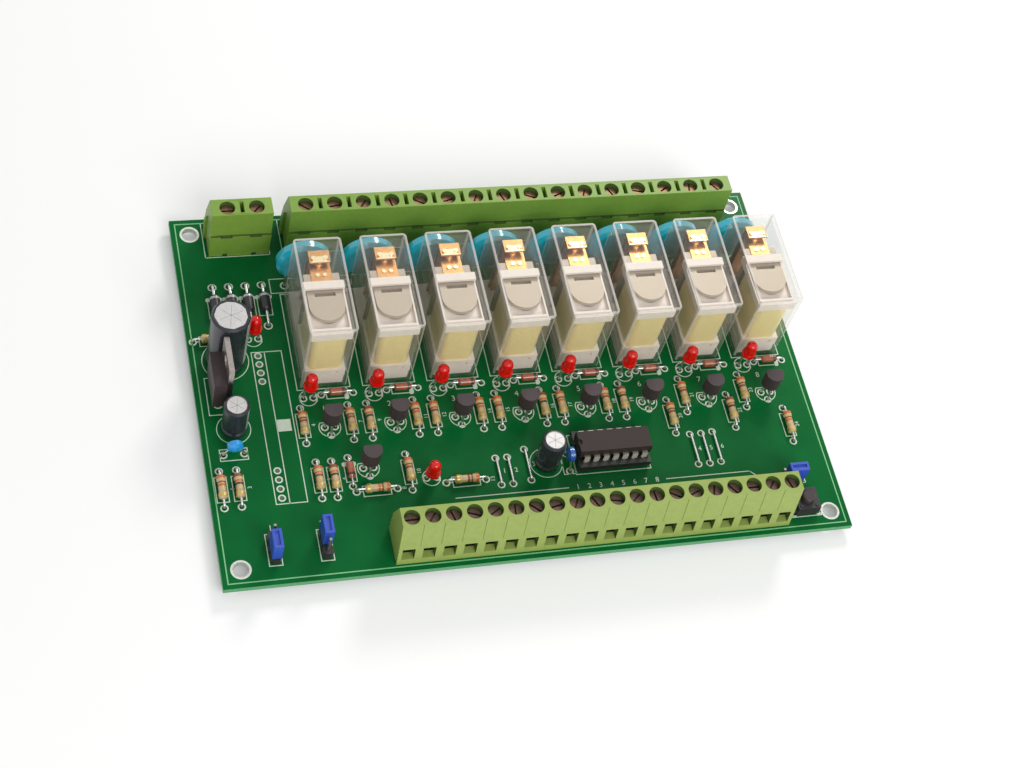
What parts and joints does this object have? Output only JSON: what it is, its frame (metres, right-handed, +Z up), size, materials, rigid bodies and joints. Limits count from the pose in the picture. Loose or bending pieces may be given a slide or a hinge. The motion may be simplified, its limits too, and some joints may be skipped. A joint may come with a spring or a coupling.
{
  "type": "relay module board",
  "caption": "Green circuit board that switches loads with a row of clear-cover relays, wired through screw clamp terminals on both long edges.",
  "frame": {"origin": "under the centre of the board, at the height of the terminal pins' tips", "axes": "+X along the board's long edge, +Y towards the output terminals, +Z up from the component side"},
  "size_m": [0.16, 0.107, 0.028],
  "materials": {
    "green_laminate": "glossy solder mask over glass laminate",
    "solder": "bright tin solder",
    "power_terminal_green": "satin yellow-green plastic",
    "input_terminal_green": "satin pale green plastic",
    "copper_plated_screw": "copper-tinted plating",
    "input_screw": "dark coppery plating",
    "clamp_steel": "zinc plated",
    "tinned_pin": "tinned",
    "tinned_wire": "tinned",
    "gold_pin": "gold flashed",
    "clear_cover": "clear moulded plastic",
    "relay_base_plastic": "cream plastic",
    "bobbin_plastic": "cream plastic",
    "coil_tape": "amber tape over the winding",
    "relay_iron": "nickel plated iron",
    "armature_iron": "nickel plated iron with a copper alloy leaf",
    "contact_copper": "copper alloy",
    "red_lamp": "translucent red epoxy",
    "glass_diodes": "orange glass with a black band",
    "rectifier_diodes": "black epoxy with a silver band",
    "transistors": "dark moulded epoxy",
    "resistors": "beige lacquer with colour bands",
    "varistors": "blue epoxy dip",
    "capacitor_sleeve": "dark sleeve with a silver top",
    "ceramic_capacitors": "blue dip",
    "voltage_regulator": "black epoxy on a grey metal tab",
    "controller_ic": "dark epoxy with bright legs",
    "black_plastic": "satin black plastic",
    "shunt_blue": "satin blue plastic",
    "test_switch_button": "satin dark plastic"
  },
  "bodies": {
    "board": {"pcb": "green_laminate", "solder_joints": "solder", "supply_terminal_housing": "power_terminal_green", "output_terminal_housing": "power_terminal_green", "input_terminal_housing": "input_terminal_green", "power_terminal_screws": "copper_plated_screw", "input_terminal_screws": "input_screw", "terminal_clamps": "clamp_steel", "terminal_pins": "tinned_pin", "relay_1_cover": "clear_cover", "relay_1_base": "relay_base_plastic", "relay_2_cover": "clear_cover", "relay_2_base": "relay_base_plastic", "relay_3_cover": "clear_cover", "relay_3_base": "relay_base_plastic", "relay_4_cover": "clear_cover", "relay_4_base": "relay_base_plastic", "relay_5_cover": "clear_cover", "relay_5_base": "relay_base_plastic", "relay_6_cover": "clear_cover", "relay_6_base": "relay_base_plastic", "relay_7_cover": "clear_cover", "relay_7_base": "relay_base_plastic", "relay_8_cover": "clear_cover", "relay_8_base": "relay_base_plastic", "relay_bobbins": "bobbin_plastic", "relay_coils": "coil_tape", "relay_yokes": "relay_iron", "relay_contacts": "contact_copper", "relay_coil_pins": "tinned_pin", "channel_leds": "red_lamp", "status_leds": "red_lamp", "glass_diodes": "glass_diodes", "rectifier_diodes": "rectifier_diodes", "transistors": "transistors", "resistors": "resistors", "varistors": "varistors", "smoothing_capacitor": "capacitor_sleeve", "small_capacitors": "capacitor_sleeve", "ceramic_capacitors": "ceramic_capacitors", "voltage_regulator": "voltage_regulator", "controller_ic": "controller_ic", "ic_socket": "black_plastic", "header_strips": "black_plastic", "header_pins": "gold_pin", "test_switch_body": "black_plastic", "wire_links": "tinned_wire"},
    "armature_1": {"relay_1_armature": "armature_iron"},
    "armature_2": {"relay_2_armature": "armature_iron"},
    "armature_3": {"relay_3_armature": "armature_iron"},
    "armature_4": {"relay_4_armature": "armature_iron"},
    "armature_5": {"relay_5_armature": "armature_iron"},
    "armature_6": {"relay_6_armature": "armature_iron"},
    "armature_7": {"relay_7_armature": "armature_iron"},
    "armature_8": {"relay_8_armature": "armature_iron"},
    "shunt_1": {"shunt_1": "shunt_blue"},
    "shunt_2": {"shunt_2": "shunt_blue"},
    "shunt_3": {"shunt_3": "shunt_blue"},
    "test_button": {"test_switch_button": "test_switch_button"}
  },
  "joints": [
    {"name": "armature_1_hinge", "type": "hinge", "parent": "board", "child": "armature_1", "pos_m": [-0.04794, 0.0167, 0.02402], "axis": [1, 0, 0], "range_deg": [0, 2.5], "stiffness_Nm_per_rad": 0.004, "springref_deg": -5.73},
    {"name": "armature_2_hinge", "type": "hinge", "parent": "board", "child": "armature_2", "pos_m": [-0.0313, 0.0167, 0.02402], "axis": [1, 0, 0], "range_deg": [0, 2.5], "stiffness_Nm_per_rad": 0.004, "springref_deg": -5.73},
    {"name": "armature_3_hinge", "type": "hinge", "parent": "board", "child": "armature_3", "pos_m": [-0.01466, 0.0167, 0.02402], "axis": [1, 0, 0], "range_deg": [0, 2.5], "stiffness_Nm_per_rad": 0.004, "springref_deg": -5.73},
    {"name": "armature_4_hinge", "type": "hinge", "parent": "board", "child": "armature_4", "pos_m": [0.00198, 0.0167, 0.02402], "axis": [1, 0, 0], "range_deg": [0, 2.5], "stiffness_Nm_per_rad": 0.004, "springref_deg": -5.73},
    {"name": "armature_5_hinge", "type": "hinge", "parent": "board", "child": "armature_5", "pos_m": [0.01862, 0.0167, 0.02402], "axis": [1, 0, 0], "range_deg": [0, 2.5], "stiffness_Nm_per_rad": 0.004, "springref_deg": -5.73},
    {"name": "armature_6_hinge", "type": "hinge", "parent": "board", "child": "armature_6", "pos_m": [0.03526, 0.0167, 0.02402], "axis": [1, 0, 0], "range_deg": [0, 2.5], "stiffness_Nm_per_rad": 0.004, "springref_deg": -5.73},
    {"name": "armature_7_hinge", "type": "hinge", "parent": "board", "child": "armature_7", "pos_m": [0.0519, 0.0167, 0.02402], "axis": [1, 0, 0], "range_deg": [0, 2.5], "stiffness_Nm_per_rad": 0.004, "springref_deg": -5.73},
    {"name": "armature_8_hinge", "type": "hinge", "parent": "board", "child": "armature_8", "pos_m": [0.06854, 0.0167, 0.02402], "axis": [1, 0, 0], "range_deg": [0, 2.5], "stiffness_Nm_per_rad": 0.004, "springref_deg": -5.73},
    {"name": "test_button_slide", "type": "slide", "parent": "board", "child": "test_button", "axis": [0, 0, -1], "range_m": [0, 0.0003], "stiffness_N_per_m": 500, "springref_m": -0.002},
    {"name": "shunt_1_slide", "type": "slide", "parent": "board", "child": "shunt_1", "axis": [0, 0, 1], "range_m": [0, 0.007]},
    {"name": "shunt_2_slide", "type": "slide", "parent": "board", "child": "shunt_2", "axis": [0, 0, 1], "range_m": [0, 0.007]},
    {"name": "shunt_3_slide", "type": "slide", "parent": "board", "child": "shunt_3", "axis": [0, 0, 1], "range_m": [0, 0.007]}
  ]
}
